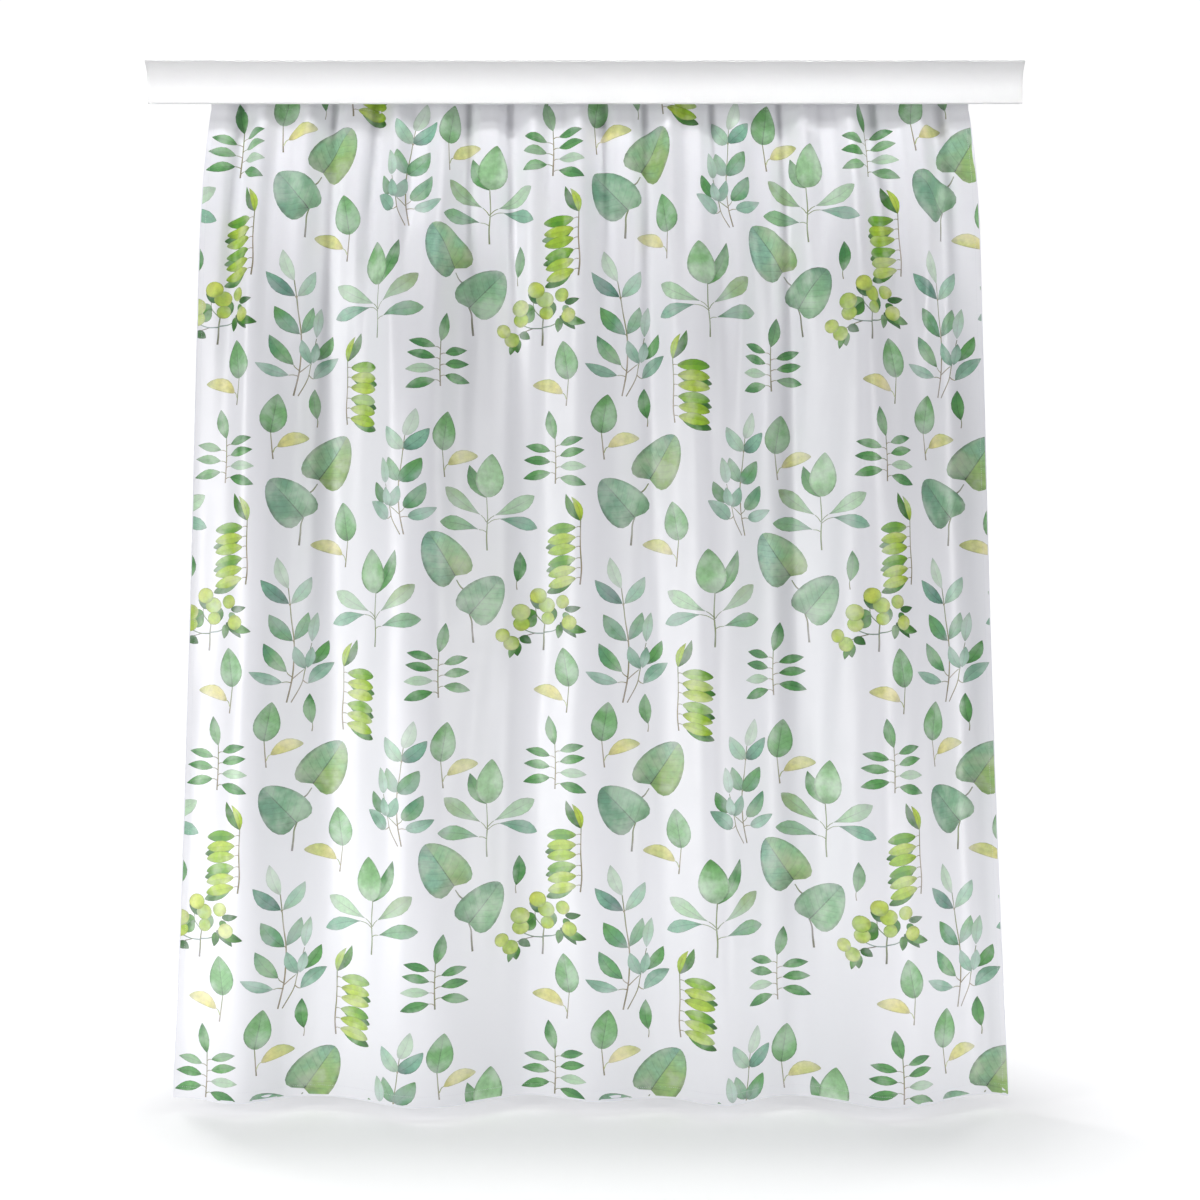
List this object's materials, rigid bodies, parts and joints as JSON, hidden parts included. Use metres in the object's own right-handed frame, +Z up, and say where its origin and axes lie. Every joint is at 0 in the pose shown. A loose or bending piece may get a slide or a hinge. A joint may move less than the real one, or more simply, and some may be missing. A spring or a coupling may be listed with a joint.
{
  "type": "shower curtain",
  "caption": "Leaf-patterned shower curtain hanging in soft folds from hooks and sliding carriers in a ceiling track behind a cove fascia.",
  "frame": {"origin": "centre of the track's upper face, against the ceiling", "axes": "+Z up, X along the track, the fascia faces -Y"},
  "size_m": [1.7046, 0.1165, 2.0367],
  "materials": {
    "track_white": "satin",
    "fascia_plastic": "satin",
    "clip_steel": "satin",
    "carrier_plastic": "satin",
    "hook_chrome": "polished",
    "eyelet_chrome": "polished",
    "printed_fabric": "satin",
    "hem_fabric": "satin",
    "weight_grey": "matte"
  },
  "bodies": {
    "root": {"ceiling_track": "track_white", "fascia": "fascia_plastic", "fascia_end_cap_left": "fascia_plastic", "fascia_end_cap_right": "fascia_plastic", "fascia_clip_1": "clip_steel", "fascia_clip_2": "clip_steel", "fascia_clip_3": "clip_steel", "fascia_clip_4": "clip_steel", "end_stop_left": "carrier_plastic", "end_stop_right": "carrier_plastic", "carrier_01": "carrier_plastic"},
    "curtain": {"curtain_panel": "printed_fabric", "header_band": "hem_fabric", "bottom_hem": "hem_fabric", "side_hem_left": "hem_fabric", "side_hem_right": "hem_fabric", "weight_tape": "weight_grey"},
    "carrier_02": {"carrier_02": "carrier_plastic"},
    "carrier_03": {"carrier_03": "carrier_plastic"},
    "carrier_04": {"carrier_04": "carrier_plastic"},
    "carrier_05": {"carrier_05": "carrier_plastic"},
    "carrier_06": {"carrier_06": "carrier_plastic"},
    "carrier_07": {"carrier_07": "carrier_plastic"},
    "carrier_08": {"carrier_08": "carrier_plastic"},
    "carrier_09": {"carrier_09": "carrier_plastic"},
    "carrier_10": {"carrier_10": "carrier_plastic"},
    "carrier_11": {"carrier_11": "carrier_plastic"},
    "carrier_12": {"carrier_12": "carrier_plastic"},
    "hook_01": {"hook_01": "hook_chrome", "eyelet_01": "eyelet_chrome"},
    "hook_02": {"hook_02": "hook_chrome", "eyelet_02": "eyelet_chrome"},
    "hook_03": {"hook_03": "hook_chrome", "eyelet_03": "eyelet_chrome"},
    "hook_04": {"hook_04": "hook_chrome", "eyelet_04": "eyelet_chrome"},
    "hook_05": {"hook_05": "hook_chrome", "eyelet_05": "eyelet_chrome"},
    "hook_06": {"hook_06": "hook_chrome", "eyelet_06": "eyelet_chrome"},
    "hook_07": {"hook_07": "hook_chrome", "eyelet_07": "eyelet_chrome"},
    "hook_08": {"hook_08": "hook_chrome", "eyelet_08": "eyelet_chrome"},
    "hook_09": {"hook_09": "hook_chrome", "eyelet_09": "eyelet_chrome"},
    "hook_10": {"hook_10": "hook_chrome", "eyelet_10": "eyelet_chrome"},
    "hook_11": {"hook_11": "hook_chrome", "eyelet_11": "eyelet_chrome"},
    "hook_12": {"hook_12": "hook_chrome", "eyelet_12": "eyelet_chrome"}
  },
  "joints": [
    {"name": "curtain_draw", "type": "slide", "parent": "root", "child": "carrier_12", "axis": [1, 0, 0], "range_m": [-1.12, 0], "deforming": ["curtain_panel", "header_band", "bottom_hem", "side_hem_left", "side_hem_right", "weight_tape"]},
    {"name": "carrier_02_slide", "type": "slide", "parent": "root", "child": "carrier_02", "axis": [1, 0, 0], "range_m": [-0.1023, 0]},
    {"name": "carrier_03_slide", "type": "slide", "parent": "root", "child": "carrier_03", "axis": [1, 0, 0], "range_m": [-0.2041, 0]},
    {"name": "carrier_04_slide", "type": "slide", "parent": "root", "child": "carrier_04", "axis": [1, 0, 0], "range_m": [-0.306, 0]},
    {"name": "carrier_05_slide", "type": "slide", "parent": "root", "child": "carrier_05", "axis": [1, 0, 0], "range_m": [-0.4078, 0]},
    {"name": "carrier_06_slide", "type": "slide", "parent": "root", "child": "carrier_06", "axis": [1, 0, 0], "range_m": [-0.5096, 0]},
    {"name": "carrier_07_slide", "type": "slide", "parent": "root", "child": "carrier_07", "axis": [1, 0, 0], "range_m": [-0.6114, 0]},
    {"name": "carrier_08_slide", "type": "slide", "parent": "root", "child": "carrier_08", "axis": [1, 0, 0], "range_m": [-0.7132, 0]},
    {"name": "carrier_09_slide", "type": "slide", "parent": "root", "child": "carrier_09", "axis": [1, 0, 0], "range_m": [-0.815, 0]},
    {"name": "carrier_10_slide", "type": "slide", "parent": "root", "child": "carrier_10", "axis": [1, 0, 0], "range_m": [-0.9169, 0]},
    {"name": "carrier_11_slide", "type": "slide", "parent": "root", "child": "carrier_11", "axis": [1, 0, 0], "range_m": [-1.0187, 0]},
    {"name": "curtain_swing", "type": "hinge", "parent": "root", "child": "curtain", "pos_m": [0, 0, -0.0261], "axis": [1, 0, 0], "range_deg": [-10, 10]},
    {"name": "hook_01_swing", "type": "hinge", "parent": "root", "child": "hook_01", "pos_m": [-0.72, 0, -0.0261], "axis": [1, 0, 0], "range_deg": [-10, 10]},
    {"name": "hook_02_swing", "type": "hinge", "parent": "carrier_02", "child": "hook_02", "pos_m": [-0.58745, 0, -0.0261], "axis": [1, 0, 0], "range_deg": [-10, 10]},
    {"name": "hook_03_swing", "type": "hinge", "parent": "carrier_03", "child": "hook_03", "pos_m": [-0.45491, 0, -0.0261], "axis": [1, 0, 0], "range_deg": [-10, 10]},
    {"name": "hook_04_swing", "type": "hinge", "parent": "carrier_04", "child": "hook_04", "pos_m": [-0.32236, 0, -0.0261], "axis": [1, 0, 0], "range_deg": [-10, 10]},
    {"name": "hook_05_swing", "type": "hinge", "parent": "carrier_05", "child": "hook_05", "pos_m": [-0.18982, 0, -0.0261], "axis": [1, 0, 0], "range_deg": [-10, 10]},
    {"name": "hook_06_swing", "type": "hinge", "parent": "carrier_06", "child": "hook_06", "pos_m": [-0.05727, 0, -0.0261], "axis": [1, 0, 0], "range_deg": [-10, 10]},
    {"name": "hook_07_swing", "type": "hinge", "parent": "carrier_07", "child": "hook_07", "pos_m": [0.07527, 0, -0.0261], "axis": [1, 0, 0], "range_deg": [-10, 10]},
    {"name": "hook_08_swing", "type": "hinge", "parent": "carrier_08", "child": "hook_08", "pos_m": [0.20782, 0, -0.0261], "axis": [1, 0, 0], "range_deg": [-10, 10]},
    {"name": "hook_09_swing", "type": "hinge", "parent": "carrier_09", "child": "hook_09", "pos_m": [0.34036, 0, -0.0261], "axis": [1, 0, 0], "range_deg": [-10, 10]},
    {"name": "hook_10_swing", "type": "hinge", "parent": "carrier_10", "child": "hook_10", "pos_m": [0.47291, 0, -0.0261], "axis": [1, 0, 0], "range_deg": [-10, 10]},
    {"name": "hook_11_swing", "type": "hinge", "parent": "carrier_11", "child": "hook_11", "pos_m": [0.60545, 0, -0.0261], "axis": [1, 0, 0], "range_deg": [-10, 10]},
    {"name": "hook_12_swing", "type": "hinge", "parent": "carrier_12", "child": "hook_12", "pos_m": [0.738, 0, -0.0261], "axis": [1, 0, 0], "range_deg": [-10, 10]}
  ],
  "couplings": [
    {"joint": "carrier_02_slide", "follows": "curtain_draw", "ratio": 0.090909},
    {"joint": "carrier_03_slide", "follows": "curtain_draw", "ratio": 0.18182},
    {"joint": "carrier_04_slide", "follows": "curtain_draw", "ratio": 0.27273},
    {"joint": "carrier_05_slide", "follows": "curtain_draw", "ratio": 0.36364},
    {"joint": "carrier_06_slide", "follows": "curtain_draw", "ratio": 0.45454},
    {"joint": "carrier_07_slide", "follows": "curtain_draw", "ratio": 0.54546},
    {"joint": "carrier_08_slide", "follows": "curtain_draw", "ratio": 0.63636},
    {"joint": "carrier_09_slide", "follows": "curtain_draw", "ratio": 0.72727},
    {"joint": "carrier_10_slide", "follows": "curtain_draw", "ratio": 0.81818},
    {"joint": "carrier_11_slide", "follows": "curtain_draw", "ratio": 0.90909},
    {"joint": "hook_01_swing", "follows": "curtain_swing", "ratio": 1},
    {"joint": "hook_02_swing", "follows": "curtain_swing", "ratio": 1},
    {"joint": "hook_03_swing", "follows": "curtain_swing", "ratio": 1},
    {"joint": "hook_04_swing", "follows": "curtain_swing", "ratio": 1},
    {"joint": "hook_05_swing", "follows": "curtain_swing", "ratio": 1},
    {"joint": "hook_06_swing", "follows": "curtain_swing", "ratio": 1},
    {"joint": "hook_07_swing", "follows": "curtain_swing", "ratio": 1},
    {"joint": "hook_08_swing", "follows": "curtain_swing", "ratio": 1},
    {"joint": "hook_09_swing", "follows": "curtain_swing", "ratio": 1},
    {"joint": "hook_10_swing", "follows": "curtain_swing", "ratio": 1},
    {"joint": "hook_11_swing", "follows": "curtain_swing", "ratio": 1},
    {"joint": "hook_12_swing", "follows": "curtain_swing", "ratio": 1}
  ]
}
